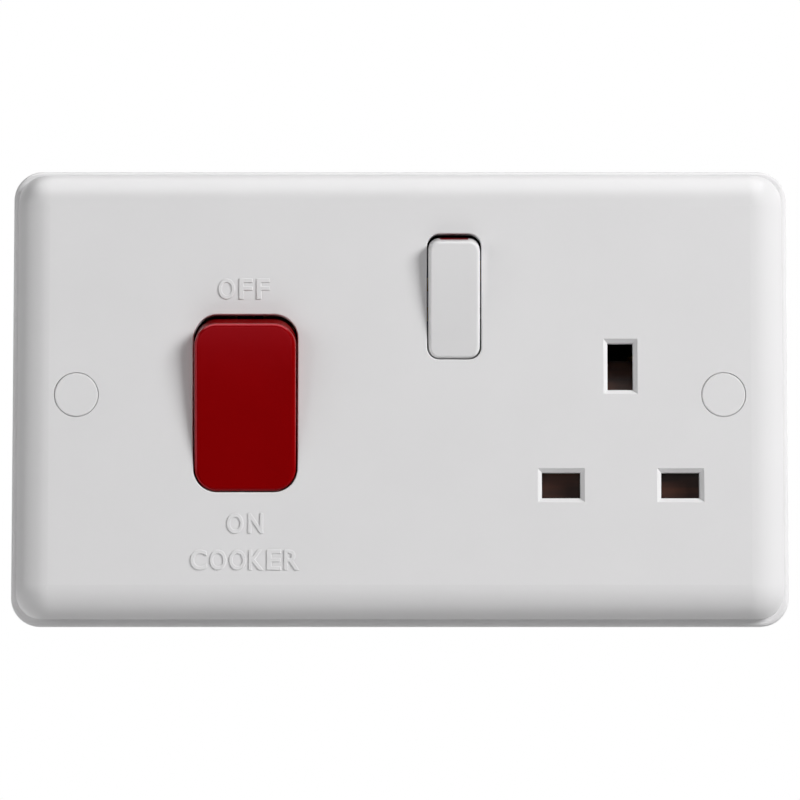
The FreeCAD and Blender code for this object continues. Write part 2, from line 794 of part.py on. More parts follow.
COOKER_FIXED = fixed_front("cooker_arm_half")
SOCKET_FIXED = fixed_front("socket_arm_half")
COOKER_TONGUE = f"({COOKER_FIXED} + contact_height)"
SOCKET_TONGUE = f"({SOCKET_FIXED} + contact_height)"
COOKER_CONTACT_Z = "(cooker_z + cooker_arm_half - contact_inset)"
SOCKET_CONTACT_Z = "(socket_z + socket_arm_half - contact_inset)"
fixed = []
for name, across, front, up in (
    ("fixed_live", LIVE_X, COOKER_FIXED, COOKER_CONTACT_Z),
    ("fixed_neutral", NEUTRAL_X, COOKER_FIXED, COOKER_CONTACT_Z),
    ("fixed_socket", "socket_x", SOCKET_FIXED, SOCKET_CONTACT_Z),
):
    strip = f"({front} + contact_height)"
    back = f"({strip} + strip_thickness)"
    fixed.append(fuse(name, [
        rod(f"{name}_button", "contact_radius", across, (front, strip), up),
        rod(f"{name}_stem", "rivet_radius", across, (strip, back), up),
        rod(f"{name}_head", "rivet_head_radius", across, (back, f"{back} + rivet_head_height"), up),
    ]))
group("fixed_contacts", fixed)


# Terminals: brass pillars with a blind bore for the conductor and clamping screws from behind.
# The supply pair carries the fixed contacts on tongues, the load pair the arms' cradles on straps.

def pillar(name, across, half_width, bores, screws, side):
    body = new_body(name)
    block = front_sketch(body, "block", BLOCK_FRONT)
    ends = ("block_offset", BLOCK_END) if side > 0 else (f"-{BLOCK_END}", "-block_offset")
    rectangle(block, span(across, half_width), ends)
    pad(body, block, "block_depth", reverse=True)
    chamfer(body, "block_chamfer", lambda edge: at_depth(edge, value(BLOCK_BACK)), "back_edges")
    end = f"{side} * {BLOCK_END}"
    mouth = sketch_on(body, "bores", "XY_Plane", end)
    for place in bores:
        circle(mouth, place, BORE_DEPTH, "wire_bore_radius")
    pocket(body, mouth, "wire_bore_depth", reverse=side < 0)
    chamfer(body, "wire_bore_lead_in", lambda edge: isinstance(edge.Curve, Part.Circle)
            and near(middle(edge).z, value(end)), "bore_lead_in")
    holes = front_sketch(body, "screw_holes", BLOCK_BACK)
    for place, up in screws:
        circle(holes, place, up, "terminal_screw_radius + terminal_screw_clearance")
    pocket(body, holes, "block_depth / 2", reverse=True)
    return body


def clamp_places(across, side, count):
    middle_z = f"{side} * (block_offset + block_height / 2)"
    if count == 1:
        return [(across, middle_z)]
    return [(across, f"{middle_z} + {end} * terminal_screw_spacing / 2") for end in (-1, 1)]


def cradle(body, across, up):
    saddle = sketch_on(body, "cradle", "YZ_Plane", across)
    groove = "(knuckle_radius + knuckle_clearance)"
    front = f"({ARM_PIVOT} + cradle_front_set)"
    lip = f"sqrt({groove} ^ 2 - cradle_front_set ^ 2)"
    outline(saddle, [
        (CRADLE_BACK, f"{up} - cradle_half"), (CRADLE_BACK, f"{up} + cradle_half"),
        (front, f"{up} + cradle_half"), (front, f"{up} + {lip}"),
        (front, f"{up} - {lip}"), (front, f"{up} - cradle_half"),
    ], {3: (groove, -1)})
    pad(body, saddle, "arm_width", both=True)


terminal_places = []
for pole, across in (("live", LIVE_X), ("neutral", NEUTRAL_X)):
    places = clamp_places(across, 1, 2)
    supply = pillar(f"supply_{pole}_terminal", across, "block_width / 2", [across], places, 1)
    tongue = front_sketch(supply, "tongue", COOKER_TONGUE)
    rectangle(tongue, span(across, "tongue_width / 2"),
              (f"{COOKER_CONTACT_Z} - contact_radius - strip_thickness", "block_offset + strip_thickness"))
    pad(supply, tongue, "strip_thickness", reverse=True)
    rivet_hole(supply, COOKER_TONGUE, across, COOKER_CONTACT_Z, "strip_thickness")
    terminal_places += places

    places = clamp_places(across, -1, 2)
    load = pillar(f"load_{pole}_terminal", across, "block_width / 2", [across], places, -1)
    strap = front_sketch(load, "strap", CRADLE_BACK)
    rectangle(strap, span(across, "arm_width / 2"),
              ("-block_offset - strip_thickness", "cooker_z + cradle_half"))
    pad(load, strap, "strip_thickness", reverse=True)
    cradle(load, across, "cooker_z")
    terminal_places += places

earth_bores = ["earth_x - earth_bore_spacing / 2", "earth_x + earth_bore_spacing / 2"]
earth_places = [place for across in earth_bores for place in clamp_places(across, -1, 1)]
EARTH_HALF = "((earth_bore_spacing + block_width) / 2)"
pillar("earth_terminal", "earth_x", EARTH_HALF, earth_bores, earth_places, -1)
terminal_places += earth_places


# Screws: slotted heads on plain shanks.

def driver_slot(name, head, across, up, top):
    slot = doc.addObject("Part::Box", f"{name}_slot")
    for prop, axis, size, low in (
        ("Length", "x", f"2 * {head}", f"{across} - {head}"),
        ("Width", "y", "2 * driver_slot_depth", f"{top} - driver_slot_depth"),
        ("Height", "z", "driver_slot_width", f"{up} - driver_slot_width / 2"),
    ):
        bind(slot, prop, size)
        bind(slot, f"Placement.Base.{axis}", low)
    return slot


def make_screw(name, rods, slot):
    screw = doc.addObject("Part::Cut", name)
    screw.Base = fuse(f"{name}_shank", rods)
    screw.Tool = slot
    return screw


clamps = []
for number, (across, up) in enumerate(terminal_places, start=1):
    name = f"clamp_{number}"
    top = f"({BLOCK_BACK} + terminal_fit + terminal_head_height)"
    rods = [
        rod(f"{name}_stem", "terminal_screw_radius", across,
            (f"{BORE_DEPTH} + wire_bore_radius + terminal_fit", f"{BLOCK_BACK} + terminal_fit"), up),
        rod(f"{name}_head", "terminal_head_radius", across, (f"{BLOCK_BACK} + terminal_fit", top), up),
    ]
    slot = driver_slot(name, "terminal_head_radius", across, up, top)
    clamps.append(make_screw(name, rods, slot))
group("terminal_screws", clamps)

fixings = []
for name, across in (("fixing_left", f"-{FIXING_X}"), ("fixing_right", FIXING_X)):
    seat = f"({FACE} + fixing_head_depth)"
    top = f"({seat} - fixing_head_height)"
    rods = [
        rod(f"{name}_head", "fixing_head_radius", across, (top, seat), "0"),
        rod(f"{name}_neck", "fixing_neck_radius", across, (seat, "-fixing_thread_lead"), "0"),
        rod(f"{name}_thread", "fixing_thread_radius", across, ("-fixing_thread_lead", "fixing_reach"), "0"),
    ]
    slot = driver_slot(name, "fixing_head_radius", across, "0", top)
    fixings.append(make_screw(name, rods, slot))
group("fixing_screws", fixings)

closers = []
for number, (across, up) in enumerate(POSTS, start=1):
    name = f"closer_{number}"
    top = f"({REAR} + housing_head_height)"
    rods = [
        rod(f"{name}_stem", "housing_screw_radius", across, (f"{BOSS_END} - housing_screw_bite", REAR), up),
        rod(f"{name}_head", "housing_head_radius", across, (REAR, top), up),
    ]
    slot = driver_slot(name, "housing_head_radius", across, up, top)
    closers.append(make_screw(name, rods, slot))
group("housing_screws", closers)


# Screw covers: thin discs with a short tube behind that pushes into the well over each screw.

for name, across in (("screw_cap_left", f"-{FIXING_X}"), ("screw_cap_right", FIXING_X)):
    cap = new_body(name)
    section = sketch_on(cap, "section", "XY_Plane")
    plug = f"({WELL_RADIUS} - cap_clearance)"
    outline(section, [
        ("0", "0"), ("cap_radius - cap_round", "0"), ("cap_radius", "cap_round"),
        ("cap_radius", "cap_thickness"), (plug, "cap_thickness"), (plug, "cap_thickness + cap_plug_length"),
        (f"{plug} - cap_plug_wall", "cap_thickness + cap_plug_length"),
        (f"{plug} - cap_plug_wall", "cap_thickness"), ("0", "cap_thickness"),
    ], {1: ("cap_round", 1)})
    revolve(cap, section)
    hang(cap, across, FACE, "0")


# Pin contacts: pairs of sprung brass leaves, pinched near the mouth, on a strap behind.

CONTACT_MOUTH = f"({RETAINER_BACK} + leaf_mouth)"


def leaf_points(centre, side, back):
    # one leaf in section: from the strap forward to the pinch, then out to the mouth
    pinch_depth = f"{CONTACT_MOUTH} + leaf_lead"
    inner = ["leaf_pinch + leaf_flare", "leaf_pinch", "leaf_pinch + leaf_flare"]
    depths = [back, pinch_depth, CONTACT_MOUTH]
    outer = [f"{gap} + leaf_thickness" for gap in inner]
    forward = list(zip(depths, inner))
    backward = list(zip(depths, outer))[::-1]
    return [(depth, f"{centre} + {side} * ({gap})") for depth, gap in forward + backward]


def pin_leaves(body, across, back):
    for side in (-1, 1):
        leaf = sketch_on(body, "leaf_above" if side > 0 else "leaf_below", "YZ_Plane", across)
        outline(leaf, leaf_points("pin_slot_z", side, back))
        pad(body, leaf, "leaf_width", both=True)


PIN_BASE_HALF = "(leaf_pinch + leaf_flare + leaf_thickness)"
PIN_LOW = f"(pin_slot_z - {PIN_BASE_HALF})"
PIN_HIGH = f"(pin_slot_z + {PIN_BASE_HALF})"

# the live contact's strap climbs beside the earth contact to the outlet switch's fixed contact
live = new_body("live_pin_contact")
strap = front_sketch(live, "strap", SOCKET_TONGUE)
STRAP_LEFT = f"({LIVE_PIN_X} - leaf_width / 2 - strip_width + leaf_flare)"
STRAP_RIGHT = f"({STRAP_LEFT} + strip_width)"
STRAP_START = "(socket_x - contact_radius - leaf_thickness)"
LIVE_RUN = span(SOCKET_CONTACT_Z, "strip_width / 2")
PIN_RIGHT = f"({LIVE_PIN_X} + leaf_width / 2)"
outline(strap, [
    (STRAP_START, LIVE_RUN[0]), (STRAP_LEFT, LIVE_RUN[0]), (STRAP_LEFT, PIN_LOW), (PIN_RIGHT, PIN_LOW),
    (PIN_RIGHT, PIN_HIGH), (STRAP_RIGHT, PIN_HIGH), (STRAP_RIGHT, LIVE_RUN[1]), (STRAP_START, LIVE_RUN[1]),
])
pad(live, strap, "strip_thickness", reverse=True)
rivet_hole(live, SOCKET_TONGUE, "socket_x", SOCKET_CONTACT_Z, "strip_thickness")
pin_leaves(live, LIVE_PIN_X, f"{SOCKET_TONGUE} + strip_thickness / 2")

neutral = new_body("neutral_pin_contact")
base = front_sketch(neutral, "base", SOCKET_TONGUE)
rectangle(base, span(NEUTRAL_PIN_X, "leaf_width / 2"), (PIN_LOW, PIN_HIGH))
pad(neutral, base, "strip_thickness", reverse=True)
pin_leaves(neutral, NEUTRAL_PIN_X, f"{SOCKET_TONGUE} + strip_thickness / 2")

earth = new_body("earth_pin_contact")
base = front_sketch(earth, "base", "earth_contact_depth")
rectangle(base, span("outlet_x", PIN_BASE_HALF), span("earth_slot_z", "leaf_width / 2"))
pad(earth, base, "strip_thickness", reverse=True)
for side in (-1, 1):
    leaf = sketch_on(earth, "leaf_right" if side > 0 else "leaf_left", "XY_Plane", "earth_slot_z")
    points = leaf_points("outlet_x", side, "earth_contact_depth + strip_thickness / 2")
    outline(leaf, [(across, depth) for depth, across in points])
    pad(earth, leaf, "leaf_width", both=True)


# Links: folded brass strips between the terminals, the outlet switch and the pin contacts.

LINK_DEPTH = f"({BLOCK_FRONT} - live_link_lead)"
LINK_LEFT = f"({LIVE_X} - strip_width / 2)"
LINK_TURN = "(socket_x - arm_width / 2 - strip_width)"
LINK_DROP = f"({LINK_TURN} - strip_thickness)"
LINK_HIGH = f"({BLOCK_END} - strip_thickness)"
LINK_LOW = f"({LINK_HIGH} - strip_width)"
LINK_END = "(socket_x + arm_width / 2)"
link = new_body("live_link")
run = front_sketch(link, "run", LINK_DEPTH)
outline(run, [
    (LINK_LEFT, LINK_LOW), (LINK_DROP, LINK_LOW), (LINK_DROP, "socket_z - cradle_half"),
    (LINK_TURN, "socket_z - cradle_half"), (LINK_TURN, LINK_HIGH), (LINK_LEFT, LINK_HIGH),
])
pad(link, run, "strip_thickness", reverse=True)
foot = front_sketch(link, "foot", LINK_DEPTH)
rectangle(foot, (LINK_LEFT, f"{LINK_LEFT} + strip_width"), (LINK_LOW, LINK_HIGH))
pad(link, foot, f"{BLOCK_FRONT} - {LINK_DEPTH}", reverse=True)
fold = sketch_on(link, "fold", "XY_Plane", "socket_z")
FOLD_BACK = f"({CRADLE_BACK} + strip_thickness)"
BEND_START = f"({CRADLE_BACK} - strip_bend)"
outline(fold, [
    (LINK_DROP, LINK_DEPTH), (LINK_TURN, LINK_DEPTH), (LINK_TURN, BEND_START),
    (f"{LINK_TURN} + strip_bend", CRADLE_BACK), (LINK_END, CRADLE_BACK), (LINK_END, FOLD_BACK),
    (f"{LINK_TURN} + strip_bend", FOLD_BACK), (LINK_DROP, BEND_START),
], {2: ("strip_bend", -1), 6: ("strip_bend + strip_thickness", 1)})
pad(link, fold, "2 * cradle_half", both=True)
cradle(link, "socket_x", "socket_z")

NEUTRAL_DEPTH = f"({CRADLE_BACK} + neutral_link_setback)"
NEUTRAL_RIGHT = f"({NEUTRAL_PIN_X} + strip_width / 2)"
NEUTRAL_LEFT = f"({NEUTRAL_PIN_X} - strip_width / 2)"
NEUTRAL_START = f"({NEUTRAL_X} + block_width / 2)"
NEUTRAL_LOW = "(block_offset + leaf_thickness)"
NEUTRAL_HIGH = f"({NEUTRAL_LOW} + strip_width)"
link = new_body("neutral_link")
run = front_sketch(link, "run", NEUTRAL_DEPTH)
outline(run, [
    (NEUTRAL_START, NEUTRAL_LOW), (NEUTRAL_LEFT, NEUTRAL_LOW), (NEUTRAL_LEFT, PIN_LOW),
    (NEUTRAL_RIGHT, PIN_LOW), (NEUTRAL_RIGHT, NEUTRAL_HIGH), (NEUTRAL_START, NEUTRAL_HIGH),
])
pad(link, run, "strip_thickness", reverse=True)
foot = front_sketch(link, "foot", NEUTRAL_DEPTH)
rectangle(foot, (NEUTRAL_LEFT, NEUTRAL_RIGHT), (PIN_LOW, PIN_HIGH))
pad(link, foot, f"{NEUTRAL_DEPTH} - {SOCKET_TONGUE} - strip_thickness")

strap = new_body("earth_strap")
EARTH_DEPTH = "(earth_contact_depth + strip_thickness)"
EARTH_START = f"(earth_x + {EARTH_HALF})"
EARTH_RUN = span("-block_offset - block_height / 2", "strip_width / 2")
run = front_sketch(strap, "run", EARTH_DEPTH)
outline(run, [
    (EARTH_START, EARTH_RUN[0]), ("outlet_x + strip_width / 2", EARTH_RUN[0]),
    ("outlet_x + strip_width / 2", "earth_slot_z + leaf_width / 2"),
    ("outlet_x - strip_width / 2", "earth_slot_z + leaf_width / 2"),
    ("outlet_x - strip_width / 2", EARTH_RUN[1]), (EARTH_START, EARTH_RUN[1]),
])
pad(strap, run, "strip_thickness", reverse=True)


# Shutter: a dark T-shaped slide that closes the two lower slots. The long pin meets its ramp first
# and drives it down, against the spring below.

RAMP_LOW = "(earth_slot_z - earth_slot_height / 2 - ramp_toe)"
RAMP_TOP = f"({RAMP_LOW} + {SHUTTER_TRAVEL})"


def tee(sketch, half_bar, low, high, half_stem, top):
    left, right = span("outlet_x", half_bar)
    stem_left, stem_right = span("outlet_x", half_stem)
    outline(sketch, [
        (left, low), (right, low), (right, high), (stem_right, high),
        (stem_right, top), (stem_left, top), (stem_left, high), (left, high),
    ])


shutter = new_body("shutter")
shape = front_sketch(shutter, "shape", SHUTTER_FRONT)
tee(shape, BLADE_HALF, BLADE_LOW, BLADE_TOP, "shutter_stem_half", RAMP_TOP)
pad(shutter, shape, "shutter_thickness", reverse=True)
ramp = sketch_on(shutter, "ramp", "YZ_Plane", "outlet_x")
RAMP_LIP = f"({SHUTTER_BACK} - shutter_lip)"
outline(ramp, [(SHUTTER_FRONT, RAMP_LOW), (RAMP_LIP, RAMP_TOP), (SHUTTER_FRONT, RAMP_TOP)])
pocket(shutter, ramp, "2 * shutter_stem_half", both=True)

spring_axis = Vector(value("outlet_x"), value(f"({SHUTTER_FRONT} + {SHUTTER_BACK}) / 2"), 0)
make_coil("shutter_spring", "shutter_spring_radius", f"-{BLADE_LOW}", f"-{LEDGE_TOP}",
          Placement(spring_axis, Rotation(Vector(1, 0, 0), -90)))

retainer = new_body("shutter_retainer")
shape = front_sketch(retainer, "shape", RETAINER_FRONT)
tee(shape, BLADE_HALF, f"{BLADE_LOW} - rail_thickness", RAIL_FOOT, RAIL_OUT, RAIL_TOP)
pad(retainer, shape, "retainer_thickness", reverse=True)
windows = front_sketch(retainer, "windows", RETAINER_FRONT)
for across, up, width, height in SLOTS:
    rectangle(windows, span(across, f"{width} / 2 + retainer_window_gap"),
              span(up, f"{height} / 2 + retainer_window_gap"))
for across, up in PEGS:
    circle(windows, across, up, "peg_radius + peg_clearance")
pocket(retainer, windows, "retainer_thickness")


# Rear housing: a deep moulded tray that closes the back, notched beside the right-hand fixing screw.

housing = new_body("rear_housing")


def tray(sketch, inset):
    left = f"({inset} - housing_left)"
    right = f"(housing_right - {inset})"
    notch = f"(housing_right - notch_depth - {inset})"
    half = f"({HOUSING_Z} - {inset})"
    step = f"(notch_half + {inset})"
    outline(sketch, [
        (left, f"-{half}"), (right, f"-{half}"), (right, f"-{step}"), (notch, f"-{step}"),
        (notch, step), (right, step), (right, half), (left, half),
    ])


outside = front_sketch(housing, "outside", INNER)
tray(outside, "0")
TRAY_DEPTH = f"({REAR} - {INNER})"
pad(housing, outside, TRAY_DEPTH, reverse=True)
for name, radius, level in (
    ("corners", "housing_corner", HOUSING_Z),
    ("notch_corners", "notch_corner", "notch_half"),
):
    fillet(housing, radius, lambda edge: near(edge.Length, value(TRAY_DEPTH))
           and near(abs(middle(edge).z), value(level)), name)
fillet(housing, "housing_edge", lambda edge: at_depth(edge, value(REAR)), "rear_edge")
inside = front_sketch(housing, "inside", INNER)
tray(inside, "housing_wall")
pocket(housing, inside, f"{BLOCK_BACK} - {INNER}")

# posts for the four closing screws
posts = front_sketch(housing, "posts", BOSS_END)
for across, up in POSTS:
    circle(posts, across, up, "housing_screw_radius + housing_screw_clearance + post_wall")
pad(housing, posts, f"{BLOCK_BACK} - {BOSS_END}", reverse=True)
shafts = front_sketch(housing, "screw_shafts", BOSS_END)
for across, up in POSTS:
    circle(shafts, across, up, "housing_screw_radius + housing_screw_clearance")
pocket(housing, shafts, f"{REAR} - {BOSS_END}")

# rests behind the straps and contacts, and the wall between the two poles
RESTS = [
    ("live_contact", LIVE_PIN_X, "pin_slot_z", SOCKET_TONGUE),
    ("neutral_contact", NEUTRAL_PIN_X, "pin_slot_z", NEUTRAL_DEPTH),
    ("earth_contact", "outlet_x", "earth_slot_z", EARTH_DEPTH),
    ("socket_cradle", "socket_x", "socket_z", CRADLE_BACK),
    ("live_cradle", LIVE_X, "cooker_z", CRADLE_BACK),
    ("neutral_cradle", NEUTRAL_X, "cooker_z", CRADLE_BACK),
]
for name, across, up, front in RESTS:
    rest = front_sketch(housing, f"{name}_rest", f"{front} + strip_thickness")
    rectangle(rest, span(across, "strip_width / 2"), span(up, "strip_width / 2"))
    pad(housing, rest, f"{BLOCK_BACK} - {front} - strip_thickness", reverse=True)
barrier = front_sketch(housing, "barrier", ARM_PIVOT)
rectangle(barrier, span("cooker_x", "pole_gap / 2 - barrier_clearance"),
          span("0", f"{HOUSING_Z} - housing_wall / 2"))
pad(housing, barrier, f"{BLOCK_BACK} - {ARM_PIVOT}", reverse=True)

# cable holes above and below, and screwdriver holes in the back
for side, places in ((1, [LIVE_X, NEUTRAL_X]), (-1, [LIVE_X, NEUTRAL_X] + earth_bores)):
    label = "cables_above" if side > 0 else "cables_below"
    cables = sketch_on(housing, label, "XY_Plane", f"{side} * {HOUSING_Z}")
    for across in places:
        circle(cables, across, BORE_DEPTH, "wire_bore_radius + wire_hole_margin")
    pocket(housing, cables, "housing_wall", reverse=side < 0)
access = front_sketch(housing, "access", REAR)
for across, up in terminal_places:
    circle(access, across, up, "terminal_head_radius + access_margin")
pocket(housing, access, "housing_floor", reverse=True)


# Checking and writing

doc.recompute()
for item in doc.Objects:
    if {"Invalid", "Error"} & set(item.State):
        raise RuntimeError(f"{item.Label} did not build: {item.State}")
for piece in pieces:
    if piece.Shape.isNull() or not piece.Shape.isValid():
        raise RuntimeError(f"{piece.Label} has no valid shape")

os.makedirs("parts", exist_ok=True)
for piece in pieces:
    piece.Shape.exportStep(f"parts/{piece.Label}.step")
    print(piece.Label, len(piece.Shape.Solids), round(piece.Shape.Volume, 2), piece.Shape.BoundBox)
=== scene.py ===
import math

import bpy
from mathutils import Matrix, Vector


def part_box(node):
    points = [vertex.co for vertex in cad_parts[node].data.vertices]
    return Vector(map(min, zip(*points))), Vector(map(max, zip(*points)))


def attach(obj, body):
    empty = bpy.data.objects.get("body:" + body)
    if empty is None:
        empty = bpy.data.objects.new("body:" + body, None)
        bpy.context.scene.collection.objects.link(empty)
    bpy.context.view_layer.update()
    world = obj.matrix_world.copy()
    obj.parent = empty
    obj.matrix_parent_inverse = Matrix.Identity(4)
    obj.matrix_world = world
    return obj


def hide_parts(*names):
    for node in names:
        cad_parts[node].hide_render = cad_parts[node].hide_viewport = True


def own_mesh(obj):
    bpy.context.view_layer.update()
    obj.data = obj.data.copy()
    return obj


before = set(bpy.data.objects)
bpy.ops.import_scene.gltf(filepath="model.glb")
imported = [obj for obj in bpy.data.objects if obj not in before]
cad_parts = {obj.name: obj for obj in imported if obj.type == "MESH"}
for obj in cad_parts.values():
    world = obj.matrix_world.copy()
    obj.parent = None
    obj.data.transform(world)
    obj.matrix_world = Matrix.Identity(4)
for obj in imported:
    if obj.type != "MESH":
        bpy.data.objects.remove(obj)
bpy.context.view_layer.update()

# Faceplate
# The front is one thick moulding of white urea with a deep rounded edge and a thin flange at the wall.
# It is pressed hot in a polished tool, so it has a satin gloss with the faintest orange peel.
MM = 0.001
PLATE_WHITE = (0.806, 0.800, 0.806)
PLATE_SHADE = (0.790, 0.784, 0.790)
EVEN = (1.0, 1.0, 1.0)
SHADE_BELOW = 0.3
COLOUR_ABOVE = 0.7
FLOW_SCALE = 70.0
FLOW_DETAIL = 4.0
GRAIN_DETAIL = 3.0
GRAIN_STRENGTH = 0.35


def link(material, source, output, target, socket):
    material.node_tree.links.new(source.outputs[output], target.inputs[socket])


def noise(material, scale, detail, stretch=EVEN):
    nodes = material.node_tree.nodes
    place = nodes.new("ShaderNodeTexCoord")
    turn = nodes.new("ShaderNodeMapping")
    turn.inputs["Scale"].default_value = stretch
    texture = nodes.new("ShaderNodeTexNoise")
    texture.inputs["Scale"].default_value = scale
    texture.inputs["Detail"].default_value = detail
    link(material, place, "Object", turn, "Vector")
    link(material, turn, "Vector", texture, "Vector")
    return texture


def tint(material, shader, texture, colour, shade):
    ramp = material.node_tree.nodes.new("ShaderNodeValToRGB")
    low, high = ramp.color_ramp.elements
    low.position = SHADE_BELOW
    low.color = (*shade, 1.0)
    high.position = COLOUR_ABOVE
    high.color = (*colour, 1.0)
    link(material, texture, "Fac", ramp, "Fac")
    link(material, ramp, "Color", shader, "Base Color")


def vary_roughness(material, shader, texture, smooth, rough):
    spread = material.node_tree.nodes.new("ShaderNodeMapRange")
    spread.inputs["To Min"].default_value = smooth
    spread.inputs["To Max"].default_value = rough
    link(material, texture, "Fac", spread, "Value")
    link(material, spread, "Result", shader, "Roughness")


def relief(material, shader, texture, depth, strength):
    bump = material.node_tree.nodes.new("ShaderNodeBump")
    bump.inputs["Distance"].default_value = depth
    bump.inputs["Strength"].default_value = strength
    link(material, texture, "Fac", bump, "Height")
    link(material, bump, "Normal", shader, "Normal")


def moulding(name, colour, shade, smooth, rough, grain, depth, specular=0.5, streaks=EVEN):
    # slow flow marks in the colour and gloss, with the tool's fine grain as relief
    material = bpy.data.materials.new(name)
    material.use_nodes = True
    shader = material.node_tree.nodes["Principled BSDF"]
    shader.inputs["Specular IOR Level"].default_value = specular
    flow = noise(material, FLOW_SCALE, FLOW_DETAIL, streaks)
    tint(material, shader, flow, colour, shade)
    skin = noise(material, grain, GRAIN_DETAIL)
    vary_roughness(material, shader, skin, smooth, rough)
    relief(material, shader, skin, depth, GRAIN_STRENGTH)
    return material


def dress(material, *nodes):
    for node in nodes:
        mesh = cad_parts[node].data
        mesh.materials.clear()
        mesh.materials.append(material)


white_urea = moulding("white_urea", PLATE_WHITE, PLATE_SHADE, smooth=0.30, rough=0.38,
                      grain=900.0, depth=0.02 * MM, specular=0.35)
dress(white_urea, "faceplate")

# Words
# The marks for the cooker switch stand a little proud of the face, in plain capitals of even width.
# They are sunk into the polished tool, so they come out with the plate, their edges softly rounded.
FACE_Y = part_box("faceplate")[0].y
WORD_RELIEF = 0.20 * MM
WORD_ROOT = 0.13 * MM
WORD_ROUND = 0.10 * MM
WORD_WEIGHT = 0.14 * MM
WORD_STANDOFF = (WORD_RELIEF - WORD_ROOT) / 2
TEXT_SIZE = 1.4  # size of the text for each unit of a capital's height
ROUND_STEPS = 2
CURVE_STEPS = 5
LETTER_SMOOTH = math.radians(40)
LETTER_WIDTHS = {
    "C": 3.1 * MM, "E": 2.7 * MM, "F": 2.5 * MM, "K": 2.8 * MM, "L": 2.4 * MM, "N": 2.8 * MM,
    "O": 3.1 * MM, "R": 2.9 * MM,
}
# word: across and up to its middle, height and the gap between letters
WORDS = {
    "OFF": (-29.1 * MM, 19.8 * MM, 3.9 * MM, 0.75 * MM),
    "ON": (-28.8 * MM, -24.0 * MM, 3.8 * MM, 0.85 * MM),
    "COOKER": (-28.8 * MM, -30.8 * MM, 3.8 * MM, 0.52 * MM),
}


def pick(piece):
    bpy.ops.object.select_all(action="DESELECT")
    piece.select_set(True)
    bpy.context.view_layer.objects.active = piece


def copy_of(piece):
    pick(piece)
    bpy.ops.object.duplicate()
    return bpy.context.object


def raised_letter(letter, height):
    # one capital lying flat, its middle at the origin
    bpy.ops.object.select_all(action="DESELECT")
    bpy.ops.object.text_add()
    shape = bpy.context.object
    shape.data.body = letter
    shape.data.size = TEXT_SIZE * height
    shape.data.extrude = (WORD_RELIEF + WORD_ROOT) / 2 - WORD_ROUND
    shape.data.offset = WORD_WEIGHT - WORD_ROUND
    shape.data.bevel_depth = WORD_ROUND
    shape.data.bevel_resolution = ROUND_STEPS
    shape.data.resolution_u = CURVE_STEPS
    bpy.ops.object.convert(target="MESH")
    shape = bpy.context.object
    low = Vector(shape.bound_box[0])
    high = Vector(shape.bound_box[6])
    shape.scale = (LETTER_WIDTHS[letter] / (high.x - low.x), height / (high.y - low.y), 1.0)
    shape.location = -(low + high) / 2 * Vector(shape.scale)
    bpy.ops.object.transform_apply(location=True, rotation=True, scale=True)
    bpy.ops.object.shade_smooth_by_angle(angle=LETTER_SMOOTH)
    return shape


def flat_letters(letters, height):
    # each capital once, to be copied wherever it is used
    return {letter: raised_letter(letter, height) for letter in dict.fromkeys(letters)}


def stand_copy(flat, across, depth, up, turn=0.0):
    shape = copy_of(flat)
    shape.rotation_euler = (math.pi / 2, 0.0, turn)
    shape.location = (across, depth, up)
    bpy.ops.object.transform_apply(location=True, rotation=True, scale=True)
    return shape


def discard(pieces):
    for piece in pieces:
        bpy.data.objects.remove(piece, do_unlink=True)


def finish_letters(shape, name, material):
    shape.name = name
    shape.data.materials.clear()
    shape.data.materials.append(material)
    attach(shape, "unit")


def raised_word(word, across, up, height, gap):
    width = sum(LETTER_WIDTHS[letter] for letter in word) + gap * (len(word) - 1)
    left = across - width / 2
    flat = flat_letters(word, height)
    letters = []
    for letter in word:
        middle = left + LETTER_WIDTHS[letter] / 2
        letters.append(stand_copy(flat[letter], middle, FACE_Y - WORD_STANDOFF, up))
        left += LETTER_WIDTHS[letter] + gap
    discard(flat.values())
    pick(letters[0])
    for shape in letters:
        shape.select_set(True)
    bpy.ops.object.join()
    finish_letters(letters[0], f"word_{word.lower()}", white_urea)


for word, place in WORDS.items():
    raised_word(word, *place)

# Screw covers
# Two thin discs of the same white moulding push into the wells over the fixing screws.
# Their faces lie flush with the plate, and a hair of a gap shows all round.
dress(white_urea, "screw_cap_left", "screw_cap_right")

# Cooker rocker
# A large hollow moulding in deep red, polished, that turns on two stub pins behind the plate.
# Its skirt hides the switch, and its ends lean so that the pressed end goes in flush.
ROCKER_RED = (0.270, 0.0004, 0.0012)
ROCKER_RED_SHADE = (0.245, 0.0003, 0.0010)
ROCKER_GLOSS = (1.0, 0.12, 0.18, 1.0)

red_moulding = moulding("red_moulding", ROCKER_RED, ROCKER_RED_SHADE, smooth=0.16, rough=0.22,
                        grain=600.0, depth=0.01 * MM, specular=0.8)
red_shader = red_moulding.node_tree.nodes["Principled BSDF"]
red_shader.inputs["Specular Tint"].default_value = ROCKER_GLOSS
dress(red_moulding, "cooker_rocker")

# Outlet rocker
# A narrow white moulding of the same make, which turns on its own pins above the outlet.
# A red flash is printed on its upper end and shows only while the outlet is on.
FLASH_WIDTH = 5.3 * MM
FLASH_RED = (0.22, 0.006, 0.008)
FLASH_RED_SHADE = (0.18, 0.004, 0.006)
FLASH_FRONT = Vector((0.0, -10.20 * MM, 29.06 * MM))
FLASH_BACK = Vector((0.0, -8.42 * MM, 29.577 * MM))
FLASH_THICKNESS = 0.04 * MM
FLASH_CORNER = 0.3 * MM
FLASH_CORNER_STEPS = 4

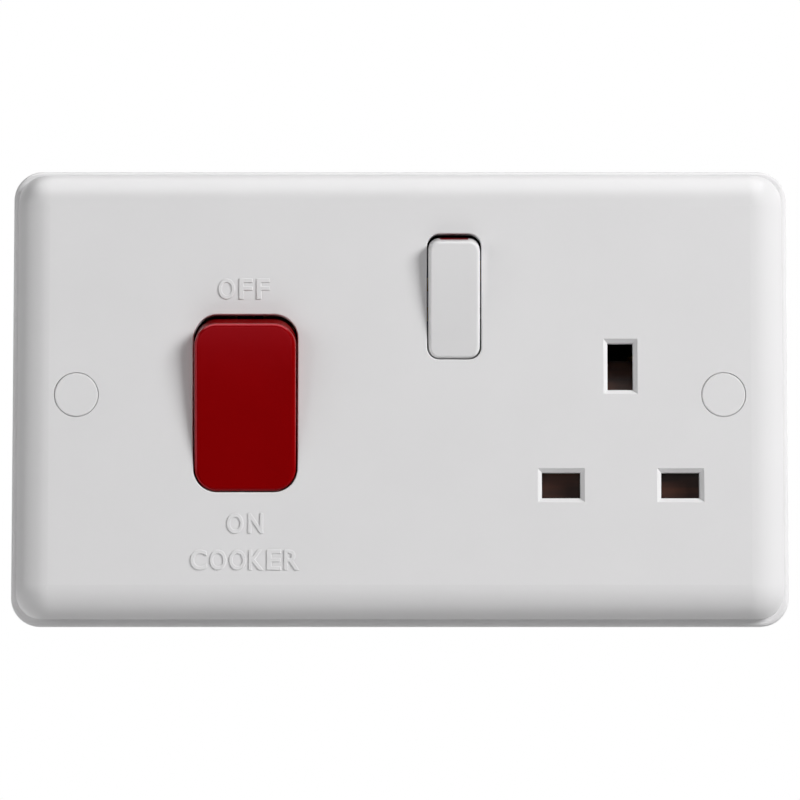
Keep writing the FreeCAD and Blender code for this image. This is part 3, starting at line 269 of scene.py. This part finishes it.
dress(white_urea, "socket_rocker")
flash_ink = moulding("flash_ink", FLASH_RED, FLASH_RED_SHADE, smooth=0.35, rough=0.45,
                     grain=1500.0, depth=0.01 * MM)
rocker_low, rocker_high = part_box("socket_rocker")
flash_run = FLASH_BACK - FLASH_FRONT
flash_tilt = math.atan2(flash_run.z, flash_run.y)
bpy.ops.object.select_all(action="DESELECT")
bpy.ops.mesh.primitive_plane_add(size=1.0)
flash = bpy.context.object
flash.name = "on_flash"
flash.scale = (FLASH_WIDTH, flash_run.length, 1.0)
flash.rotation_euler = (flash_tilt, 0.0, 0.0)
flash.location = (FLASH_FRONT + FLASH_BACK) / 2
flash.location.x = (rocker_low.x + rocker_high.x) / 2
bpy.ops.object.transform_apply(location=True, rotation=True, scale=True)
bpy.ops.object.mode_set(mode="EDIT")
bpy.ops.mesh.select_all(action="SELECT")
bpy.ops.mesh.bevel(offset=FLASH_CORNER, segments=FLASH_CORNER_STEPS, affect="VERTICES")
bpy.ops.object.mode_set(mode="OBJECT")
film = flash.modifiers.new("film", "SOLIDIFY")
film.thickness = FLASH_THICKNESS
film.offset = 0.0
bpy.ops.object.modifier_apply(modifier="film")
flash.data.materials.append(flash_ink)
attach(flash, "socket_rocker")

# Shutter and its retainer
# A dark slide blocks the live and neutral slots until the long earth pin pushes it down its ramp.
# It runs between two rails behind the face, and a dark plate with three windows keeps it there.
DARK_BROWN = (0.070, 0.026, 0.016)
DARK_BROWN_SHADE = (0.020, 0.013, 0.012)
FLOW_STREAKS = (0.6, 1.0, 6.0)

dark_moulding = moulding("dark_moulding", DARK_BROWN, DARK_BROWN_SHADE, smooth=0.35, rough=0.50,
                         grain=1200.0, depth=0.02 * MM, specular=0.2, streaks=FLOW_STREAKS)
dress(dark_moulding, "shutter", "shutter_retainer")

# Plungers
# Small nylon pins with round noses slide in the rockers' stems and press on the contact arms.
# They are moulded in natural nylon, a warm off-white with a dull skin.
NYLON = (0.70, 0.67, 0.58)
NYLON_SHADE = (0.64, 0.61, 0.52)

nylon = moulding("nylon", NYLON, NYLON_SHADE, smooth=0.42, rough=0.55, grain=1400.0, depth=0.02 * MM)
dress(nylon, "cooker_live_plunger", "cooker_neutral_plunger", "socket_plunger")

# Springs
# Coils of drawn steel wire sit behind the plungers and under the shutter.
# Drawing leaves fine lines along the wire and a grey, slightly oily shine.
SPRING_STEEL = (0.46, 0.46, 0.48)
SPRING_STEEL_SHADE = (0.34, 0.34, 0.36)
PATCH_SCALE = 260.0
PATCH_DETAIL = 5.0
LINES_DETAIL = 4.0
LINES_STRENGTH = 0.4
SPRING_WIRE = 0.45 * MM
SPRING_TURNS = 5
SPRING_PLAY = 0.02 * MM
WIRE_SIDES = 10
TURN_STEPS = 24
WIRE_SMOOTH = math.radians(45)
STEM_LEAN = math.radians(7.0)
STEM_AXIS = Vector((0.0, math.cos(STEM_LEAN), math.sin(STEM_LEAN)))
STEM_SEAT = -3.0 * MM * STEM_AXIS
STEM_COIL_RADIUS = 1.78 * MM
PLUNGER_TRAVEL = 1.2 * MM
SHUTTER_TRAVEL = 6.0 * MM
COOKER_COIL_LENGTH = 5.5 * MM
SOCKET_COIL_LENGTH = 6.5 * MM
LIVE_PIVOT = Vector((-34.3, -4.0, -1.6)) * MM
NEUTRAL_PIVOT = Vector((-23.3, -4.0, -1.6)) * MM
SOCKET_PIVOT = Vector((10.1, -5.0, 18.4)) * MM
UPWARD = Vector((0.0, 0.0, 1.0))


def metal(name, colour, shade, smooth, rough, lines, stretch, depth):
    # patchy tone from handling, and the tool's fine lines as relief and uneven gloss
    material = bpy.data.materials.new(name)
    material.use_nodes = True
    shader = material.node_tree.nodes["Principled BSDF"]
    shader.inputs["Metallic"].default_value = 1.0
    patches = noise(material, PATCH_SCALE, PATCH_DETAIL)
    tint(material, shader, patches, colour, shade)
    marks = noise(material, lines, LINES_DETAIL, stretch)
    vary_roughness(material, shader, marks, smooth, rough)
    relief(material, shader, marks, depth, LINES_STRENGTH)
    return material


def coil(radius, length):
    # round wire wound upwards from the origin, both ends cut square
    bpy.ops.object.select_all(action="DESELECT")
    bpy.ops.mesh.primitive_circle_add(
        vertices=WIRE_SIDES, radius=SPRING_WIRE / 2, fill_type="NOTHING",
        location=(radius - SPRING_WIRE / 2, 0.0, SPRING_PLAY + SPRING_WIRE / 2),
        rotation=(math.pi / 2, 0.0, 0.0))
    bpy.ops.object.transform_apply(location=True, rotation=True, scale=True)
    spring = bpy.context.object
    wind = spring.modifiers.new("wind", "SCREW")
    wind.axis = "Z"
    wind.steps = TURN_STEPS
    wind.render_steps = TURN_STEPS
    wind.iterations = SPRING_TURNS
    wind.screw_offset = (length - 2 * SPRING_PLAY - SPRING_WIRE) / SPRING_TURNS
    bpy.ops.object.modifier_apply(modifier="wind")
    bpy.ops.object.mode_set(mode="EDIT")
    bpy.ops.mesh.select_all(action="DESELECT")
    bpy.ops.mesh.select_mode(type="VERT")
    bpy.ops.mesh.select_non_manifold()
    bpy.ops.mesh.fill_holes(sides=WIRE_SIDES)
    bpy.ops.mesh.select_all(action="SELECT")
    bpy.ops.mesh.normals_make_consistent(inside=False)
    bpy.ops.object.mode_set(mode="OBJECT")
    return spring


spring_steel = metal("spring_steel", SPRING_STEEL, SPRING_STEEL_SHADE, smooth=0.25, rough=0.45,
                     lines=2500.0, stretch=EVEN, depth=0.01 * MM)
shutter_low, shutter_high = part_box("shutter_spring")
shutter_foot = (shutter_low + shutter_high) / 2
shutter_foot.z = shutter_low.z
shutter_length = shutter_high.z - shutter_low.z
cooker_coil = coil(STEM_COIL_RADIUS, COOKER_COIL_LENGTH)
# spring: its coil, body, the joint that pushes it, its foot, direction, length and how far it is pushed
springs = {
    "cooker_live_spring": (
        cooker_coil, "cooker_rocker", "cooker_live_plunger_slide",
        LIVE_PIVOT + STEM_SEAT, STEM_AXIS, COOKER_COIL_LENGTH, PLUNGER_TRAVEL),
    "cooker_neutral_spring": (
        copy_of(cooker_coil), "cooker_rocker", "cooker_neutral_plunger_slide",
        NEUTRAL_PIVOT + STEM_SEAT, STEM_AXIS, COOKER_COIL_LENGTH, PLUNGER_TRAVEL),
    "socket_spring": (
        coil(STEM_COIL_RADIUS, SOCKET_COIL_LENGTH), "socket_rocker", "socket_plunger_slide",
        SOCKET_PIVOT + STEM_SEAT, STEM_AXIS, SOCKET_COIL_LENGTH, PLUNGER_TRAVEL),
    "shutter_spring": (
        coil((shutter_high.x - shutter_low.x) / 2, shutter_length), "unit", "shutter_slide",
        shutter_foot, UPWARD, shutter_length, SHUTTER_TRAVEL),
}

for name, (spring, body, joint, foot, along, length, travel) in springs.items():
    pick(spring)
    spring.name = f"{name}_coil"
    spring.rotation_euler = (-math.acos(along.z), 0.0, 0.0)
    spring.location = foot
    bpy.ops.object.transform_apply(location=True, rotation=True, scale=True)
    bpy.ops.object.shade_smooth_by_angle(angle=WIRE_SMOOTH)
    spring.data.materials.append(spring_steel)
    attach(spring, body)
    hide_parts(name)
    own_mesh(spring)

# Contact arms
# See-saw arms stamped from copper strip rock on a knuckle in a bent cradle under each pole.
# The strip is rolled, so its lines run lengthwise, and it dulls to a warm brown in places.
COPPER = (0.72, 0.38, 0.24)
COPPER_SHADE = (0.55, 0.27, 0.16)
ROLLED_UPRIGHT = (6.0, 6.0, 0.6)

copper = metal("copper", COPPER, COPPER_SHADE, smooth=0.24, rough=0.42,
               lines=900.0, stretch=ROLLED_UPRIGHT, depth=0.02 * MM)
dress(copper, "cooker_live_arm", "cooker_neutral_arm", "socket_arm")

# Contacts
# Domed buttons of silver alloy are riveted to the arms and to the fixed strips.
# They are turned and tumbled, bright with a soft satin skin.
SILVER = (0.80, 0.79, 0.76)
SILVER_SHADE = (0.66, 0.65, 0.62)

silver = metal("silver", SILVER, SILVER_SHADE, smooth=0.18, rough=0.34,
               lines=1800.0, stretch=EVEN, depth=0.01 * MM)
dress(silver, "cooker_live_contact", "cooker_neutral_contact", "socket_contact", "fixed_contacts")

# Terminals, strips and pin contacts
# Pillar terminals are sawn from drawn brass bar, and the strips and sprung contacts stamped from sheet.
# The terminals clamp the wires with screws, and the lightly tarnished strips lead to the outlet.
BRASS = (0.76, 0.56, 0.25)
BRASS_SHADE = (0.60, 0.42, 0.17)
DRAWN_INWARD = (5.0, 1.0, 5.0)
BRASS_PIECES = (
    "supply_live_terminal", "supply_neutral_terminal", "load_live_terminal", "load_neutral_terminal",
    "earth_terminal", "terminal_screws", "live_pin_contact", "neutral_pin_contact", "earth_pin_contact",
    "live_link", "neutral_link", "earth_strap",
)

brass = metal("brass", BRASS, BRASS_SHADE, smooth=0.22, rough=0.40,
              lines=1100.0, stretch=DRAWN_INWARD, depth=0.02 * MM)
dress(brass, *BRASS_PIECES)

# Rear housing
# A grey tray moulded with posts, a barrier between the poles and holes for the cables and screws.
# Its tool is spark-eroded, which leaves an even matt grain all over.
HOUSING_GREY = (0.100, 0.102, 0.106)
HOUSING_GREY_SHADE = (0.085, 0.087, 0.091)

grey_moulding = moulding("grey_moulding", HOUSING_GREY, HOUSING_GREY_SHADE, smooth=0.48, rough=0.62,
                         grain=1600.0, depth=0.05 * MM)
dress(grey_moulding, "rear_housing")

# Terminal marks
# A raised capital beside each terminal's screws on the back says which wire goes there.
# They are moulded with the tray, in the same grey.
MARK_HEIGHT = 3.8 * MM
MARK_TURN = math.pi
BACK_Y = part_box("rear_housing")[1].y
# terminal: its letter, and how far up the letter stands
MARKS = {
    "supply_live_terminal": ("L", 17.7 * MM),
    "supply_neutral_terminal": ("N", 17.7 * MM),
    "load_live_terminal": ("L", -17.7 * MM),
    "load_neutral_terminal": ("N", -17.7 * MM),
    "earth_terminal": ("E", -20.4 * MM),
}

flat_marks = flat_letters("LNE", MARK_HEIGHT)
for terminal, (letter, up) in MARKS.items():
    block_low, block_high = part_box(terminal)
    middle = (block_low.x + block_high.x) / 2
    mark = stand_copy(flat_marks[letter], middle, BACK_Y + WORD_STANDOFF, up, MARK_TURN)
    finish_letters(mark, terminal.replace("terminal", "mark"), grey_moulding)
discard(flat_marks.values())

# Housing screws
# Four thread-forming screws with slotted heads close the tray against bosses behind the plate.
# They are cold headed in steel and bright zinc plated, with a faint blue cast.
ZINC = (0.60, 0.62, 0.66)
ZINC_SHADE = (0.48, 0.50, 0.54)

zinc = metal("zinc", ZINC, ZINC_SHADE, smooth=0.20, rough=0.36,
             lines=1500.0, stretch=EVEN, depth=0.015 * MM)
dress(zinc, "housing_screws")

# Fixing screws
# Two long machine screws pass through the wells and draw the plate to the back box.
# The head is slotted, the neck is plain, and a rolled thread runs from behind the plate to the tip.
FIXING_SPACING = 120.6 * MM
HEAD_RADIUS = 3.4 * MM
HEAD_HEIGHT = 2.2 * MM
HEAD_ROUND = 0.35 * MM
SLOT_WIDTH = 1.0 * MM
SLOT_DEPTH = 0.9 * MM
SLOT_LENGTH = 3 * HEAD_RADIUS
NECK_RADIUS = 1.55 * MM
NECK_END = 5.7 * MM
THREAD_RADIUS = 1.75 * MM
THREAD_DEPTH = 0.36 * MM
THREAD_PITCH = 0.6 * MM
THREAD_HALF = 0.44 * THREAD_PITCH
THREAD_SINK = THREAD_DEPTH / 10
THREAD_STEPS = 20
RIDGE_SIDES = 3
TIP_ROUND = 0.4 * MM
ROUND_SIDES = 32
RIM_STEPS = 3
SCREW_SMOOTH = math.radians(35)

screws_low, screws_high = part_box("fixing_screws")
screw_length = screws_high.y - screws_low.y
core_radius = THREAD_RADIUS - THREAD_DEPTH


def bar(radius, start, end):
    bpy.ops.object.select_all(action="DESELECT")
    bpy.ops.mesh.primitive_cylinder_add(
        vertices=ROUND_SIDES, radius=radius, depth=end - start, location=(0.0, 0.0, (start + end) / 2))
    bpy.ops.object.transform_apply(location=True, rotation=True, scale=True)
    return bpy.context.object


def round_rim(piece, picked, size):
    # softens the rim made of the vertices that are picked
    bpy.ops.object.mode_set(mode="EDIT")
    bpy.ops.mesh.select_all(action="DESELECT")
    bpy.ops.object.mode_set(mode="OBJECT")
    for vertex in piece.data.vertices:
        vertex.select = picked(vertex.co)
    bpy.ops.object.mode_set(mode="EDIT")
    bpy.ops.mesh.select_mode(type="VERT")
    bpy.ops.mesh.bevel(offset=size, segments=RIM_STEPS, affect="EDGES")
    bpy.ops.object.mode_set(mode="OBJECT")


def screw_head():
    head = bar(HEAD_RADIUS, 0.0, HEAD_HEIGHT)
    round_rim(head, lambda place: place.z < HEAD_HEIGHT / 2, HEAD_ROUND)
    bpy.ops.mesh.primitive_cube_add(size=1.0, scale=(SLOT_LENGTH, SLOT_WIDTH, 2 * SLOT_DEPTH))
    blade = bpy.context.object
    bpy.context.view_layer.objects.active = head
    slot = head.modifiers.new("slot", "BOOLEAN")
    slot.object = blade
    bpy.ops.object.modifier_apply(modifier="slot")
    discard([blade])
    return head


def screw_core():
    core = bar(core_radius, HEAD_HEIGHT, screw_length)
    round_rim(core, lambda place: place.z > screw_length / 2, TIP_ROUND)
    return core


def screw_thread():
    # a three-sided ridge wound round the core, its foot just inside the core's surface
    foot = core_radius - THREAD_SINK
    bpy.ops.object.select_all(action="DESELECT")
    bpy.ops.mesh.primitive_circle_add(vertices=RIDGE_SIDES, radius=THREAD_DEPTH, fill_type="NOTHING")
    ridge = bpy.context.object
    crest = (THREAD_RADIUS, NECK_END + THREAD_HALF)
    corners = ((foot, NECK_END), crest, (foot, NECK_END + 2 * THREAD_HALF))
    for vertex, (out, along) in zip(ridge.data.vertices, corners):
        vertex.co = (out, 0.0, along)
    wind = ridge.modifiers.new("wind", "SCREW")
    wind.axis = "Z"
    wind.steps = THREAD_STEPS
    wind.render_steps = THREAD_STEPS
    wind.screw_offset = THREAD_PITCH
    wind.iterations = int((screw_length - TIP_ROUND - NECK_END) / THREAD_PITCH) - 1
    bpy.ops.object.modifier_apply(modifier="wind")
    bpy.ops.object.mode_set(mode="EDIT")
    bpy.ops.mesh.select_all(action="DESELECT")
    bpy.ops.mesh.select_non_manifold()
    bpy.ops.mesh.fill_holes(sides=RIDGE_SIDES)
    bpy.ops.mesh.select_all(action="SELECT")
    bpy.ops.mesh.normals_make_consistent(inside=False)
    bpy.ops.object.mode_set(mode="OBJECT")
    return ridge


def place_screw(screw, name, across):
    pick(screw)
    screw.name = name
    screw.rotation_euler = (-math.pi / 2, 0.0, 0.0)
    screw.location = (across, screws_low.y, 0.0)
    bpy.ops.object.transform_apply(location=True, rotation=True, scale=True)
    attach(screw, "unit")
    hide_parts("fixing_screws")


left_screw = screw_head()
screw_pieces = [left_screw, bar(NECK_RADIUS, HEAD_HEIGHT, NECK_END), screw_core(), screw_thread()]
pick(left_screw)
for piece in screw_pieces:
    piece.select_set(True)
bpy.ops.object.join()
bpy.ops.object.shade_smooth_by_angle(angle=SCREW_SMOOTH)
left_screw.data.materials.clear()
left_screw.data.materials.append(zinc)
right_screw = copy_of(left_screw)
place_screw(left_screw, "fixing_screw_left", -FIXING_SPACING / 2)
place_screw(right_screw, "fixing_screw_right", FIXING_SPACING / 2)

# Surroundings
# The studio is white behind the object, where it lights the back, and dark round the camera.
# Seen straight on it is plain white, and metal and gloss show it too.
STUDIO_WHITE = (1.0, 1.0, 1.0, 1.0)
SURROUND_LIGHT = 1.00
DARK_LEVEL = 0.02
DARK_FROM = 0.25
BRIGHT_FROM = 0.85

world = bpy.data.worlds.new("studio")
bpy.context.scene.world = world
world.use_nodes = True
sky = world.node_tree.nodes
ties = world.node_tree.links


def larger(first, second):
    most = sky.new("ShaderNodeMath")
    most.operation = "MAXIMUM"
    ties.new(first, most.inputs[0])
    ties.new(second, most.inputs[1])
    return most.outputs["Value"]


def background(strength):
    white = sky.new("ShaderNodeBackground")
    white.inputs["Color"].default_value = STUDIO_WHITE
    ties.new(strength, white.inputs["Strength"])
    return white.outputs["Background"]


direction = sky.new("ShaderNodeTexCoord")
axes = sky.new("ShaderNodeSeparateXYZ")
ties.new(direction.outputs["Generated"], axes.inputs["Vector"])
tent = sky.new("ShaderNodeMapRange")
tent.interpolation_type = "SMOOTHSTEP"
tent.inputs["From Min"].default_value = DARK_FROM
tent.inputs["From Max"].default_value = BRIGHT_FROM
tent.inputs["To Min"].default_value = DARK_LEVEL
ties.new(axes.outputs["Y"], tent.inputs["Value"])
dimmed = sky.new("ShaderNodeMath")
dimmed.operation = "MULTIPLY"
dimmed.inputs[1].default_value = SURROUND_LIGHT
ties.new(tent.outputs["Result"], dimmed.inputs[0])
ray = sky.new("ShaderNodeLightPath").outputs
seen = larger(ray["Is Camera Ray"], larger(ray["Is Glossy Ray"], ray["Is Transmission Ray"]))
either = sky.new("ShaderNodeMixShader")
ties.new(seen, either.inputs["Fac"])
ties.new(background(dimmed.outputs["Value"]), either.inputs[1])
ties.new(background(larger(ray["Is Camera Ray"], tent.outputs["Result"])), either.inputs[2])
ties.new(either.outputs["Shader"], sky["World Output"].inputs["Surface"])

# Lamps
# A soft box on the right throws the shadows to the left of the rockers, and one on the left fills.
# A pale table lights the underside. Two panels, overhead and behind the camera, only show in gloss.
# name: place, width, height, power, and whether it lights the surfaces and shows in gloss
LAMPS = {
    "right_box": (Vector((1.02, -0.72, 0.56)), 0.58, 0.58, 20.6, True, False),
    "left_box": (Vector((-0.75, -0.35, 0.10)), 0.50, 0.60, 2.4, True, True),
    "overhead": (Vector((0.0, -0.10, 0.70)), 1.10, 0.80, 11.0, False, True),
    "front_panel": (Vector((0.0, -1.20, 0.16)), 0.80, 0.34, 1.1, False, True),
    "table": (Vector((0.0, -0.36, -0.72)), 0.90, 0.40, 2.4, True, False),
}

for name, (place, width, height, power, lights, in_gloss) in LAMPS.items():
    bpy.ops.object.light_add(type="AREA", location=place)
    lamp = bpy.context.object
    lamp.name = name
    lamp.data.shape = "RECTANGLE"
    lamp.data.size = width
    lamp.data.size_y = height
    lamp.data.energy = power
    lamp.visible_camera = False
    lamp.visible_diffuse = lights
    lamp.visible_glossy = in_gloss
    lamp.rotation_euler = place.to_track_quat("Z", "Y").to_euler()

# Camera
# It stands square in front and a little below the middle, with a long lens, as in the photograph.
# The whole plate fills the frame's width.
CAMERA_DISTANCE = 0.72
CAMERA_RISE = math.radians(-4.8)
CAMERA_AIM = Vector((0.0, -1.0 * MM, -0.25 * MM))
FRAME_WIDTH = 150.9 * MM
SENSOR_WIDTH = 36.0

bpy.ops.object.camera_add()
camera = bpy.context.object
camera.name = "camera"
away = Vector((0.0, -math.cos(CAMERA_RISE), math.sin(CAMERA_RISE)))
camera.location = CAMERA_AIM + away * CAMERA_DISTANCE
camera.rotation_euler = away.to_track_quat("Z", "Y").to_euler()
camera.data.sensor_width = SENSOR_WIDTH
camera.data.lens = SENSOR_WIDTH * CAMERA_DISTANCE / FRAME_WIDTH
bpy.context.scene.camera = camera
bpy.context.scene.view_settings.view_transform = "Standard"
